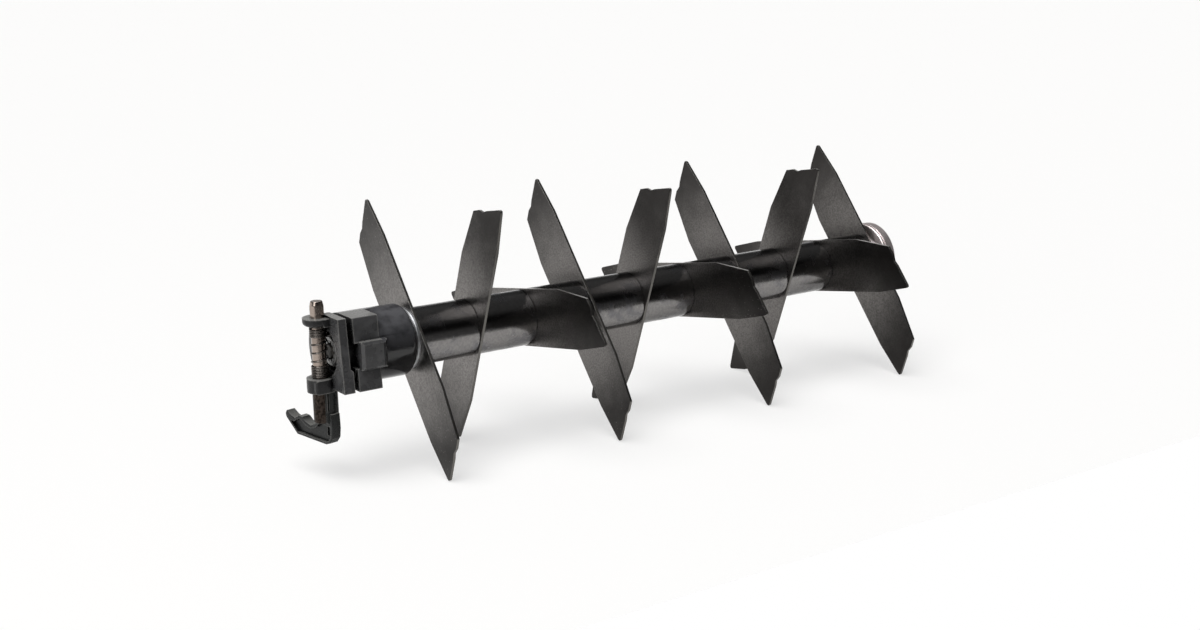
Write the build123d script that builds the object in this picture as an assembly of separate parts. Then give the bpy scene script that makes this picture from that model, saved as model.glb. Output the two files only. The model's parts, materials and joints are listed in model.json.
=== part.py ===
from build123d import *
from collections import namedtuple
import math
import os

os.makedirs("parts", exist_ok=True)

# Scarifier rotor: ten two-armed blades on a hexagon shaft, a bearing block with a spring
# lock pin at the left end and a ball bearing at the right end.
# The X axis runs along the shaft from the block to the drive bearing and Z is up. The origin is
# in the middle of the drive bearing. Places along X are first counted from the first blade's
# middle, because the blades and sleeves stack up from there, and are moved to the origin when saved.

# Clearances, and how far a cut runs past what it cuts
overcut = 1.0
seat_gap = 0.02
ring_play = 0.05
hexagon_play = 0.1
pin_play = 0.07
clip_play = 0.08
washer_play = 0.5

# Blades: each one is turned by one flat of the hexagon from the one before it
blade_count = 10
blade_pitch = 35.0
blade_thickness = 1.5
blade_half_width = 15.5
blade_tip_reach = 75.7
blade_tip_side = 12.3
blade_tip_nose = 1.2
blade_heel_reach = 63.4
blade_heel_side = 11.2
blade_notch = [(6.4, 3.0), (2.6, 3.6), (0.0, 5.8)]
blade_long_kink = 53.0
blade_short_kink = 37.0
blade_step = 60.0
blade_tip_angle = math.degrees(math.atan2(blade_tip_side, blade_tip_reach))
first_blade_angle = -blade_step / 2 - blade_tip_angle

# Shaft, spacer sleeves and the washer before the first blade
shaft_flats = 20.0
shaft_chamfer = 1.0
sleeve_radius = 15.0
sleeve_inner_radius = 12.0
end_washer_thickness = 2.0
end_washer_radius = 16.0
stack_start = -blade_thickness / 2
stack_end = (blade_count - 1) * blade_pitch + blade_thickness / 2
washer_start = stack_start - end_washer_thickness
end_washer_chamfer = 0.7
hexagon_start = washer_start + washer_play

# Ball bearings: the land is the share of the ball's radius that each ring keeps beside its track
Bearing = namedtuple("Bearing", "start width inner outer ball_radius ball_count")
land_share = 0.55
track_play = 0.05
track_rim = 1.0
ring_chamfer = 0.5
cage_wall = 1.4
cage_floor = 0.6
seal_thickness = 0.4
seal_inset = 0.1
seal_play = 0.03
seal_lip_gap = 0.3

# Drive end: ball bearing, its washer and the ring that keeps it on
drive_washer_thickness = 2.2
drive_journal_radius = 10.0
drive_bearing_radius = 21.0
drive_bearing_width = 8.0
rim_groove_start = 1.6
rim_groove_width = 0.8
rim_groove_depth = 0.6
drive_socket_flats = 10.0
drive_socket_depth = 14.0
drive_ring_thickness = 1.2
drive_ring_radius = 12.6
drive_ring_groove = 9.2
drive_shaft_overhang = 2.6
drive_bearing_start = stack_end + drive_washer_thickness
drive_ring_start = drive_bearing_start + drive_bearing_width + 2 * ring_play
drive_shaft_end = drive_ring_start + drive_ring_thickness + drive_shaft_overhang
drive_ball_radius = 2.8
drive_ball_count = 9
drive_bearing = Bearing(
    drive_bearing_start, drive_bearing_width, drive_journal_radius + seat_gap,
    drive_bearing_radius, drive_ball_radius, drive_ball_count,
)
drive_washer_radius = (drive_journal_radius + drive_bearing_radius) / 2 - land_share * drive_ball_radius
origin_x = drive_bearing_start + drive_bearing_width / 2

# Block end: journal, ball bearing, bushes and toothed washer
journal_radius = 6.0
journal_end = -44.0
spigot_radius = 4.2
block_ball_radius = 2.4
block_ball_count = 8
block_bearing_radius = 14.0
block_bearing_width = 8.0
block_bearing_start = -35.5
block_bearing_end = block_bearing_start + block_bearing_width
block_bearing = Bearing(
    block_bearing_start, block_bearing_width, journal_radius + ring_play,
    block_bearing_radius - seat_gap, block_ball_radius, block_ball_count,
)
bush_radius = 8.0
bush_flange_radius = 12.5
bush_flange_thickness = 3.0
block_ring_thickness = 1.2
block_ring_depth = 1.2
block_ring_reach = 1.6
snap_ring_gap = 3.0
toothed_washer_radius = 7.2
toothed_washer_root = 5.6
toothed_washer_thickness = 1.2
toothed_washer_start = -43.6
toothed_washer_end = toothed_washer_start + toothed_washer_thickness
toothed_washer_teeth = 10
tooth_gap_width = 1.3

# Bearing block: plate, neck and collar. Its front leans out towards the foot
plate_left = -45.8
plate_right = -41.4
plate_top = 19.2
plate_bottom = -17.8
plate_front_top = 15.8
plate_front_foot = 19.4
foot_top = -6.0
foot_right = -40.0
foot_ramp = 2.5
neck_radius = 13.0
neck_inner_radius = 10.0
collar_left = -38.2
collar_right = washer_start - washer_play
collar_radius = 18.5
collar_inner_radius = 14.4
collar_rounding = 3.4
counterbore_radius = 12.6
counterbore_depth = 3.0
cheek_right = -24.5
cheek_top = 18.8
cheek_step = 0.6
pad_left = -36.1
pad_right = -22.0
pad_front = 21.5
pad_half_height = 7.1
pad_chamfer = 1.3
cheek_rounding = 0.8
pocket_half_height = 6.4
pocket_floor = 11.5

# Ears that guide the lock pin
pin_x = -49.2
pin_radius = 3.5
upper_ear_top = 18.2
upper_ear_bottom = 14.2
upper_ear_radius = 7.4
upper_ear_rounding = 2.2
lower_ear_top = -12.4
lower_ear_bottom = -19.4
lower_ear_left = -54.9
lower_ear_front = 7.0
lower_ear_back = 5.4
lower_ear_rounding = 1.2

# Lock pin with its clip and spring
pin_top = 26.4
pin_foot = -35.4
pin_tip_radius = 2.9
pin_tip_height = 2.5
pin_shoulder_radius = 4.5
pin_shoulder_chamfer = 0.5
clip_top = upper_ear_bottom - ring_play
clip_thickness = 0.8
clip_radius = 4.4
clip_seat_radius = 2.9
clip_mouth = 5.0
spring_wire = 0.8
spring_room = 0.4
spring_radius = 4.02
spring_closed_pitch = 1.04 * spring_wire
spring_closed_foot = 7
spring_open_turns = 3.5
spring_closed_top = 5
spring_steps_per_turn = 8

# Lever on the pin's shoulder, in its own plane: the first value runs along the arm, the second up
lever_turn = 79.0
lever_offset = 2.2
lever_half_thickness = 2.7
lever_web_half = 1.0
lever_rounding = 0.5
lever_shell_radius = 6.2
lever_shell_top = lower_ear_bottom - clip_play
lever_shell_lip = 3.5
lever_outline = [
    (-7.6, -30.4), (-7.9, -38.0), (-7.2, -43.0), (-4.8, -45.9), (-1.7, -47.0), (22.5, -46.6), (31.4, -39.2),
    (32.0, -37.2), (31.0, -35.6), (27.8, -37.4), (24.4, -38.6), (20.6, -36.4), (17.8, -36.6), (15.0, -38.6),
    (10.8, -39.8), (6.0, -37.8), (4.0, -30.4),
]
lever_pocket = [
    (-6.4, -36.8), (-6.5, -38.2), (-5.9, -42.6), (-4.1, -44.8), (-1.6, -45.7), (22.0, -45.3), (28.2, -40.2),
    (24.6, -40.1), (20.6, -37.9), (18.4, -38.0), (15.6, -40.0), (10.8, -41.2), (5.4, -39.2), (3.2, -36.8),
]
lever_window = (-5.2, -1.6, -42.6, -38.0)
lever_window_depth = 0.6
shell_groove = (-2.9, -2.2)
shell_groove_floor = 5.1
shell_groove_foot = -29.6


def rod(start, end, radius):
    """A round bar along X."""
    return Plane.YZ.offset(start) * extrude(Circle(radius), end - start)


def tube(start, end, outer, inner):
    """A round tube along X."""
    return Plane.YZ.offset(start) * extrude(Circle(outer) - Circle(inner), end - start)


def post(x, y, foot, top, radius):
    """A round bar along Z."""
    return Pos(x, y, foot) * extrude(Circle(radius), top - foot)


def block(x_range, y_range, z_range):
    """A box between two limits on each axis."""
    size = [high - low for low, high in (x_range, y_range, z_range)]
    middle = [(high + low) / 2 for low, high in (x_range, y_range, z_range)]
    return Pos(*middle) * Box(*size)


def blade_plane(x, angle):
    """A plane square to the shaft whose own X axis points along the first arm of a blade."""
    turn = math.radians(angle)
    return Plane(origin=(x, 0, 0), x_dir=(0, -math.sin(turn), math.cos(turn)), z_dir=(1, 0, 0))


def hexagon(flats):
    """A hexagon given by the distance between its flats."""
    return RegularPolygon(radius=flats / 2, side_count=6, major_radius=False)


def blade_face():
    """Outline of a blade: each arm ends in a shallow notch and a pointed tip."""
    arm = [(-blade_half_width, blade_short_kink), (-blade_heel_side, blade_heel_reach)]
    arm += [(-side, blade_heel_reach + rise) for side, rise in blade_notch]
    arm += [
        (blade_tip_side - blade_tip_nose, blade_tip_reach),
        (blade_tip_side, blade_tip_reach),
        (blade_tip_side + blade_tip_nose / 2, blade_tip_reach - blade_tip_nose),
        (blade_half_width, blade_long_kink),
    ]
    first = [(reach, side) for side, reach in arm]
    second = [(-reach, -side) for reach, side in first]
    return make_face(Polyline(*first, *second, close=True))


def make_blade(index):
    place = blade_plane(index * blade_pitch - blade_thickness / 2, first_blade_angle + blade_step * index)
    outline = blade_face() - hexagon(shaft_flats + 2 * hexagon_play)
    return place * extrude(outline, blade_thickness)


def make_sleeve(index):
    start = index * blade_pitch + blade_thickness / 2 + seat_gap
    end = start + blade_pitch - blade_thickness - 2 * seat_gap
    return tube(start, end, sleeve_radius, sleeve_inner_radius)


def make_shaft():
    """Hexagon bar with a turned journal at each end and a drive socket in the right one."""
    bar = blade_plane(hexagon_start, first_blade_angle)
    shaft = bar * extrude(hexagon(shaft_flats), drive_bearing_start - hexagon_start)
    shaft += rod(toothed_washer_end, stack_start, journal_radius)
    shaft += chamfer(rod(journal_end, stack_start, spigot_radius).edges().group_by(Axis.X)[0], shaft_chamfer)
    drive = rod(stack_end, drive_shaft_end, drive_journal_radius)
    shaft += chamfer(drive.edges().group_by(Axis.X)[-1], shaft_chamfer)
    groove_end = drive_ring_start + drive_ring_thickness
    shaft -= tube(drive_ring_start, groove_end, drive_bearing_radius, drive_ring_groove)
    socket = blade_plane(drive_shaft_end - drive_socket_depth, first_blade_angle)
    return shaft - socket * extrude(hexagon(drive_socket_flats), drive_socket_depth)


def make_washer(start, thickness, radius):
    """A round washer with a hexagon hole."""
    face = Circle(radius) - hexagon(shaft_flats + 2 * hexagon_play)
    return blade_plane(start, first_blade_angle) * extrude(face, thickness)


def make_snap_ring(start, thickness, outer, inner):
    """A retaining ring, open at the top, pressed out of flat steel."""
    length = (start - overcut, start + thickness + overcut)
    mouth = block(length, (-snap_ring_gap / 2, snap_ring_gap / 2), (0, outer + overcut))
    return tube(start, start + thickness, outer, inner) - mouth


def make_inner_bush():
    """Bush with a flange against the end washer."""
    start = block_bearing_end + seat_gap
    end = washer_start - seat_gap
    bush = tube(start, end, bush_radius, journal_radius + ring_play)
    return bush + tube(end - bush_flange_thickness, end, bush_flange_radius, journal_radius + ring_play)


def make_outer_bush():
    start = toothed_washer_end + seat_gap
    return tube(start, block_bearing_start - seat_gap, bush_radius, journal_radius + ring_play)


def make_toothed_washer():
    """Push-on washer whose inner teeth grip the spigot."""
    face = Circle(toothed_washer_radius) - Circle(spigot_radius + ring_play)
    inside = spigot_radius - overcut
    tooth_gap = Rectangle(toothed_washer_root - inside, tooth_gap_width, align=(Align.MIN, Align.CENTER))
    for number in range(toothed_washer_teeth):
        face -= Rot(0, 0, 360 / toothed_washer_teeth * number) * Pos(inside, 0) * tooth_gap
    return Plane.YZ.offset(toothed_washer_start) * extrude(face, toothed_washer_thickness - seat_gap)


def round_edges(shape):
    """Circular edges of a shape, the smallest first."""
    return shape.edges().filter_by(GeomType.CIRCLE).sort_by(SortBy.RADIUS)


def ball_circle(bearing):
    return (bearing.inner + bearing.outer) / 2


def make_inner_ring(bearing):
    end = bearing.start + bearing.width
    middle = bearing.start + bearing.width / 2
    land = ball_circle(bearing) - land_share * bearing.ball_radius
    track = ball_circle(bearing) - bearing.ball_radius - track_play
    ring = chamfer(round_edges(tube(bearing.start, end, land, bearing.inner))[:2], ring_chamfer)
    return ring - tube(middle - bearing.ball_radius, middle + bearing.ball_radius, land + track_rim, track)


def make_outer_ring(bearing):
    end = bearing.start + bearing.width
    middle = bearing.start + bearing.width / 2
    land = ball_circle(bearing) + land_share * bearing.ball_radius
    track = ball_circle(bearing) + bearing.ball_radius + track_play
    ring = chamfer(round_edges(tube(bearing.start, end, bearing.outer, land))[-2:], ring_chamfer)
    return ring - tube(middle - bearing.ball_radius, middle + bearing.ball_radius, track, land - track_rim)


def make_rim_groove():
    """Groove round the drive bearing's rim."""
    start = drive_bearing_start + rim_groove_start
    floor = drive_bearing_radius - rim_groove_depth
    return tube(start, start + rim_groove_width, drive_bearing_radius + overcut, floor)


def ball_places(bearing):
    """Where each ball of a bearing sits."""
    middle = bearing.start + bearing.width / 2
    turns = [360 / bearing.ball_count * number for number in range(bearing.ball_count)]
    return [Rot(turn, 0, 0) * Pos(middle, 0, ball_circle(bearing)) for turn in turns]


def make_balls(bearing):
    """The balls of a bearing as a group of separate solids."""
    return Compound(children=[place * Sphere(bearing.ball_radius) for place in ball_places(bearing)])


def make_cage(bearing):
    """A one-piece crown cage that keeps the balls apart."""
    middle = bearing.start + bearing.width / 2
    radius = ball_circle(bearing)
    end = middle + bearing.ball_radius + cage_floor
    cage = tube(middle, end, radius + cage_wall / 2, radius - cage_wall / 2)
    for place in ball_places(bearing):
        cage -= place * Sphere(bearing.ball_radius + clip_play)
    return cage


def make_seal(bearing, start):
    """A flat seal between the two rings."""
    land = land_share * bearing.ball_radius
    outer = ball_circle(bearing) + land - seal_play
    return tube(start, start + seal_thickness, outer, ball_circle(bearing) - land + seal_lip_gap)


def leaning_front(x_range, foot, top):
    """The half of the block in front of the shaft, between two heights, under its leaning front."""
    left, right = x_range
    lean = (plate_front_foot - plate_front_top) / (plate_top - plate_bottom)
    front_foot = plate_front_foot - lean * (foot - plate_bottom)
    front_top = plate_front_foot - lean * (top - plate_bottom)
    face = make_face(Polyline((0, foot), (-front_foot, foot), (-front_top, top), (0, top), close=True))
    return Plane.YZ.offset(left) * extrude(face, right - left)


def make_plate():
    """Plate on the outside of the machine's side wall, with a thicker foot."""
    far = plate_front_foot + plate_top
    thick = (plate_left, plate_right)
    plate = rod(plate_left, plate_right, plate_top) & block(thick, (0, far), (plate_bottom, far))
    plate += leaning_front(thick, plate_bottom, plate_top)
    foot = leaning_front((plate_left, foot_right), plate_bottom, foot_top)
    ramp = foot.edges().filter_by(Axis.Y).group_by(Axis.Z)[-1].sort_by(Axis.X)[-1:]
    return plate + chamfer(ramp, foot_ramp / 2)


def make_cheeks():
    """Thickened front of the collar, above and below the pad."""
    upper = leaning_front((collar_left, cheek_right), 0, cheek_top)
    upper = fillet(upper.edges().filter_by(Axis.X).sort_by(Axis.Z)[-2:], cheek_rounding)
    lower = leaning_front((collar_left + cheek_step, cheek_right - cheek_step), plate_bottom, foot_top)
    return upper + lower


def make_pad():
    """Chamfered pad on the front of the block."""
    pad = block((pad_left, pad_right), (-pad_front, 0), (-pad_half_height, pad_half_height))
    return chamfer(pad.faces().sort_by(Axis.Y)[0].edges(), pad_chamfer)


def make_block():
    """The moulded block: plate, neck and collar in one piece with the two ears."""
    collar = rod(collar_left, collar_right, collar_radius)
    collar = fillet(collar.edges().group_by(Axis.X)[-1], collar_rounding)
    body = make_plate() + collar + rod(plate_left, collar_left, neck_radius) + make_cheeks() + make_pad()
    pocket_z = (-pocket_half_height, pocket_half_height)
    body -= block((plate_right, pad_left), (-2 * plate_front_foot, -pocket_floor), pocket_z)
    body += make_ears()
    body -= rod(plate_left, block_bearing_start, neck_inner_radius)
    body -= rod(plate_left, plate_left + counterbore_depth, counterbore_radius)
    body -= rod(block_bearing_start, block_bearing_end, block_bearing_radius)
    body -= rod(block_bearing_end, collar_right, collar_inner_radius)
    ring_end = block_bearing_end + block_ring_thickness
    body -= rod(block_bearing_end, ring_end, block_bearing_radius + block_ring_depth)
    body -= post(pin_x, 0, lower_ear_top, upper_ear_bottom, clip_radius + spring_room)
    return body - post(pin_x, 0, lower_ear_bottom - overcut, upper_ear_top + overcut, pin_radius + pin_play)


def make_ears():
    """Upper ear with a round end, rounded below, and lower ear with one square side."""
    upper = post(pin_x, 0, upper_ear_bottom, upper_ear_top, upper_ear_radius)
    upper = fillet(upper.edges().group_by(Axis.Z)[0], upper_ear_rounding)
    upper_y = (-upper_ear_radius, upper_ear_radius)
    upper += block((pin_x, plate_left), upper_y, (upper_ear_bottom, upper_ear_top))
    lower_y = (-lower_ear_front, lower_ear_back)
    side = block((lower_ear_left, pin_x), lower_y, (lower_ear_bottom, lower_ear_top))
    side = fillet(side.faces().sort_by(Axis.X)[0].edges(), lower_ear_rounding)
    bridge = block((pin_x, plate_left), (-lower_ear_back, lower_ear_back), (lower_ear_bottom, lower_ear_top))
    return upper + side + bridge + post(pin_x, 0, lower_ear_bottom, lower_ear_top, lower_ear_front)


def make_lock_pin():
    """Round pin with a bevelled tip, a groove for its clip and a shoulder under the lower ear."""
    shoulder_top = lower_ear_bottom - seat_gap
    pin = post(pin_x, 0, shoulder_top, pin_top - pin_tip_height, pin_radius)
    shoulder = post(pin_x, 0, pin_foot, shoulder_top, pin_shoulder_radius)
    pin += chamfer(shoulder.edges().group_by(Axis.Z)[0], pin_shoulder_chamfer)
    tip = Pos(pin_x, 0, pin_top - pin_tip_height / 2) * Cone(pin_radius, pin_tip_radius, pin_tip_height)
    groove = post(pin_x, 0, clip_top - clip_thickness - clip_play, clip_top + clip_play, pin_radius + overcut)
    return pin + tip - (groove - post(pin_x, 0, lower_ear_top, upper_ear_top, clip_seat_radius))


def make_clip():
    """Open clip that sits in the groove of the pin and carries the top of the spring."""
    face = Circle(clip_radius) - Circle(clip_seat_radius + clip_play)
    face -= Rectangle(clip_radius + overcut, clip_mouth, align=(Align.MIN, Align.CENTER))
    return Pos(pin_x, 0, clip_top - clip_thickness) * Rot(0, 0, 180) * extrude(face, clip_thickness)


def spring_height(turns):
    """Height of the wire's centre above the lower ear after a number of turns."""
    start = spring_wire / 2 + seat_gap
    closed = spring_closed_pitch * (spring_closed_foot + spring_closed_top)
    free = clip_top - clip_thickness - lower_ear_top - 2 * start - closed
    opened = min(max(turns - spring_closed_foot, 0), spring_open_turns)
    shut = min(turns, spring_closed_foot) + max(turns - spring_closed_foot - spring_open_turns, 0)
    return start + spring_closed_pitch * shut + free * opened / spring_open_turns


def make_spring():
    """Coil spring with closed ends, round the pin between the lower ear and the clip."""
    turns = spring_closed_foot + spring_open_turns + spring_closed_top
    points = []
    for step in range(int(turns * spring_steps_per_turn) + 1):
        turned = step / spring_steps_per_turn
        angle = 2 * math.pi * turned
        height = lower_ear_top + spring_height(turned)
        points.append((pin_x + spring_radius * math.cos(angle), spring_radius * math.sin(angle), height))
    path = Spline(*points)
    section = Plane(origin=path @ 0, z_dir=path % 0) * Circle(spring_wire / 2)
    return sweep(section, path=path, is_frenet=True)


def lever_place():
    """Middle plane of the lever: its own X axis points along the arm and its Y axis points up."""
    along = math.cos(math.radians(lever_turn))
    across = math.sin(math.radians(lever_turn))
    origin = (pin_x + lever_offset * across, lever_offset * along, 0)
    return Plane(origin=origin, x_dir=(-along, across, 0), z_dir=(across, along, 0))


def lever_arm():
    """Arm with a finger notch and a pocket on each side of its web."""
    arm = extrude(make_face(Polyline(*lever_outline, close=True)), lever_half_thickness, both=True)
    flats = arm.faces().filter_by(Axis.Z)
    arm = fillet([edge for face in flats for edge in face.edges()], lever_rounding)
    pocket = make_face(Polyline(*lever_pocket, close=True))
    depth = lever_half_thickness - lever_web_half
    arm -= Pos(0, 0, lever_web_half) * extrude(pocket, 2 * depth)
    arm -= Pos(0, 0, -lever_web_half) * extrude(pocket, -2 * depth)
    near, far, low, high = lever_window
    middle = ((near + far) / 2, (low + high) / 2, -lever_web_half)
    return arm - Pos(*middle) * Box(far - near, high - low, 2 * lever_window_depth)


def lever_shell():
    """Half shell that clips round the pin's shoulder, with a groove beside its lip."""
    height = lever_shell_top - pin_foot
    width = 2 * lever_shell_radius
    beyond = Rectangle(width, width, align=(Align.CENTER, Align.MIN))
    face = Circle(lever_shell_radius) - Pos(0, lever_shell_lip) * beyond
    low, high = shell_groove
    groove = Pos(-shell_groove_floor, -(low + high) / 2) * Rectangle(
        lever_shell_radius, high - low, align=(Align.MAX, Align.CENTER)
    )
    shell = extrude(face, height) - Pos(0, 0, shell_groove_foot - pin_foot) * extrude(groove, height)
    return Pos(0, pin_foot, 0) * Rot(-90, 0, 0) * shell


def make_lever():
    """Lever with its shell, its arm and the bore for the pin's shoulder."""
    place = lever_place()
    lever = place * (lever_arm() + lever_shell())
    return lever - post(pin_x, 0, pin_foot - seat_gap, lever_shell_top, pin_shoulder_radius + seat_gap)


def save(shape, name):
    """Writes one piece, moved so that the origin is in the middle of the drive bearing."""
    placed = Pos(-origin_x, 0, 0) * shape
    placed.label = name
    export_step(placed, f"parts/{name}.step")


def save_bearing(bearing, outer_ring, name):
    """Writes the pieces of one ball bearing."""
    save(make_inner_ring(bearing), f"{name}_inner_ring")
    save(outer_ring, f"{name}_outer_ring")
    save(make_balls(bearing), f"{name}_balls")
    save(make_cage(bearing), f"{name}_cage")
    save(make_seal(bearing, bearing.start + seal_inset), f"{name}_seal_left")
    right = bearing.start + bearing.width - seal_inset - seal_thickness
    save(make_seal(bearing, right), f"{name}_seal_right")


def save_snap_rings():
    """Writes the ring on the drive journal and the ring inside the block."""
    inner = drive_ring_groove + ring_play
    ring = make_snap_ring(drive_ring_start, drive_ring_thickness, drive_ring_radius, inner)
    save(ring, "drive_snap_ring")
    outer = block_bearing_radius + block_ring_depth - ring_play
    inner = block_bearing_radius - block_ring_reach
    thickness = block_ring_thickness - 2 * ring_play
    save(make_snap_ring(block_bearing_end + ring_play, thickness, outer, inner), "block_snap_ring")


def main():
    for index in range(blade_count):
        save(make_blade(index), f"blade_{index + 1:02d}")
    for index in range(blade_count - 1):
        save(make_sleeve(index), f"spacer_sleeve_{index + 1:02d}")
    save(make_shaft(), "shaft")
    end_washer = make_washer(washer_start, end_washer_thickness - seat_gap, end_washer_radius)
    save(chamfer(round_edges(end_washer).sort_by(Axis.X)[:1], end_washer_chamfer), "end_washer")
    drive_washer_length = drive_washer_thickness - 2 * seat_gap
    save(make_washer(stack_end + seat_gap, drive_washer_length, drive_washer_radius), "drive_washer")
    save(make_inner_bush(), "inner_bush")
    save(make_outer_bush(), "outer_bush")
    save(make_toothed_washer(), "toothed_washer")
    save_snap_rings()
    save_bearing(block_bearing, make_outer_ring(block_bearing), "block_bearing")
    save_bearing(drive_bearing, make_outer_ring(drive_bearing) - make_rim_groove(), "drive_bearing")
    save(make_block(), "bearing_block")
    save(make_lock_pin(), "lock_pin")
    save(make_clip(), "pin_clip")
    save(make_spring(), "pin_spring")
    save(make_lever(), "lock_lever")


main()
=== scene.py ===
import json
import math

import bmesh
import bpy
from mathutils import Matrix, Vector


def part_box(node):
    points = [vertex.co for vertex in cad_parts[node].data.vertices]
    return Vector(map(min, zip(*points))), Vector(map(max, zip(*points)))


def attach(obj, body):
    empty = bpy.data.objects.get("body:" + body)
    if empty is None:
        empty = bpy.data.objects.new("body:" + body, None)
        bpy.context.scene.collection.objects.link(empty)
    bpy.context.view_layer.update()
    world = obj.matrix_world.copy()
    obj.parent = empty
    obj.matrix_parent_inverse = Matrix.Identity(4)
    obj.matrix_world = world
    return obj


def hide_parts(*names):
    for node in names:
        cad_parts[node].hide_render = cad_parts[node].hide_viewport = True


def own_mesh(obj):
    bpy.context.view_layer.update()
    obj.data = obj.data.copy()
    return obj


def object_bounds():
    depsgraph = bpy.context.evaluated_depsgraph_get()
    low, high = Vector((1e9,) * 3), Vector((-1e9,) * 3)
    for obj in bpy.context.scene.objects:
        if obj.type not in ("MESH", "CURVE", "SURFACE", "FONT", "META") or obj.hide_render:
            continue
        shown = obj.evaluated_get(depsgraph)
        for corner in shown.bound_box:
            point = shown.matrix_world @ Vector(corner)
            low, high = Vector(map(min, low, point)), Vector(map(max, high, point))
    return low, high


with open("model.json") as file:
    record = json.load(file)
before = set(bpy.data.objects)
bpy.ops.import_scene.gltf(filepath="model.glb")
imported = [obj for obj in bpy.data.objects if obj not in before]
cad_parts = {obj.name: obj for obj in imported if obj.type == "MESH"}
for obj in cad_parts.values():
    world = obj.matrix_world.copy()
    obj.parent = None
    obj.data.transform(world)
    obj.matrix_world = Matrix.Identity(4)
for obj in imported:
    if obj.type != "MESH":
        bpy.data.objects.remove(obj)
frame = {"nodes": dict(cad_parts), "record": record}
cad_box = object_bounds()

bl_info = {
    "name": "Scarifier Rotor",
    "version": (1, 0, 0),
    "blender": (4, 5, 0),
    "location": "3D View > Sidebar > Rotor",
    "description": "Dresses the solids of a scarifier rotor with edges, springs, finishes and a stage",
    "category": "Add Mesh",
}

MM = 0.001
SHAFT_AXIS = Vector((1, 0, 0))
BEARINGS = ("block_bearing", "drive_bearing")

# Points this close become one before edges are rounded, and so do faces that turn this little.
WELD = 0.002 * MM
FLAT_TURN = math.radians(0.4)

# Edges that turn by more than this are rounded.
SHARP_TURN = math.radians(28)

# How far a closed turn of the spring rises, in wire diameters, and how finely the wire is drawn.
CLOSED_RISE = 1.04
STEPS_PER_TURN = 32
WIRE_ROUNDNESS = 4

# Most of a noise lies between these two levels.
NOISE = (0.3, 0.7)

# Settings that many nodes share.
SMOOTH = {"interpolation_type": "SMOOTHSTEP"}
COLOURS = {"data_type": "RGBA"}

# Rays that look for grooves and rims at each point.
CORNER_SAMPLES = 8

# How strongly moulded nylon and rubber bend light.
NYLON_IOR = 1.53
RUBBER_IOR = 1.52

# Places along the shaft past both ends of the rotor, for a moulding that has no zones.
NO_ZONES = (-1.0, 1.0)


def linear(code):
    """An sRGB hex code as a linear colour with alpha."""
    values = [int(code[place:place + 2], 16) / 255 for place in (0, 2, 4)]
    return tuple(v / 12.92 if v <= 0.04045 else ((v + 0.055) / 1.055) ** 2.4 for v in values) + (1.0,)


def number(title, text, default, **more):
    """A plain number."""
    return bpy.props.FloatProperty(name=title, description=text, default=default, **more)


def length(title, text, default):
    """A size in metres."""
    return number(title, text, default, unit="LENGTH", precision=5)


def share(title, text, default):
    """A number from 0 to 1."""
    return number(title, text, default, min=0, max=1, subtype="FACTOR")


def angle(title, text, degrees):
    """An angle, given in degrees."""
    return number(title, text, math.radians(degrees), unit="ROTATION")


def vector(title, text, default, **more):
    """Three numbers, along X, Y and Z."""
    return bpy.props.FloatVectorProperty(name=title, description=text, default=default, **more)


def colour(title, text, code):
    """A colour given as an sRGB hex code."""
    return vector(title, text, linear(code), size=4, subtype="COLOR", min=0, max=1)


class BladeSettings(bpy.types.PropertyGroup):
    # Lighter near the shaft, darker at the tips: hardened oxide and a painted reflection that fades
    # outwards.
    hub_colour: colour("Steel near the shaft", "Oxide where it is rubbed thin", "858280")
    tip_colour: colour("Steel at the tips", "Oxide where the tips were hardened", "353332")
    pit_colour: colour("Pits", "Dark specks in the oxide", "2a2826")
    dust_colour: colour("Dust", "Pale specks of dust", "9a9793")
    cut_colour: colour("Cut edge", "Stamped edge with oil and dirt in its breaks", "6b6966")
    # Painted highlight on the cut edges that look up.
    upper_edge_highlight_colour: colour("Rubbed edge", "Edges on the upper side, rubbed bright by handling", "e6e4e0")
    edge: length("Edge radius", "Rounding that stamping and tumbling leave", 0.15 * MM)
    roughness: share("Roughness", "How satin the faces are", 0.33)


class SleeveSettings(bpy.types.PropertyGroup):
    tube_colour: colour("Sleeve", "Reflection of the polished black oxide", "888685")
    smudge_colour: colour("Finger marks", "Reflection where the sleeve was handled", "787779")
    mottle_colour: colour("Mottle", "Darker spots in the polish", "4a4949")
    dust_colour: colour("Dust", "Pale specks of dust", "b9b7b2")
    # Painted shade on the upper side of the sleeve.
    painted_top_shade_colour: colour("Oily side", "Reflection under a film of oil", "232324")
    edge: length("Edge radius", "Rounding of the sawn and deburred ends", 0.35 * MM)
    roughness: share("Roughness", "How sharp reflections in the sleeves are", 0.2)
    # How strongly the painted shade darkens the upper side.
    film: share("Oil film", "How much a film of oil dulls the upper side", 0.5)


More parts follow.
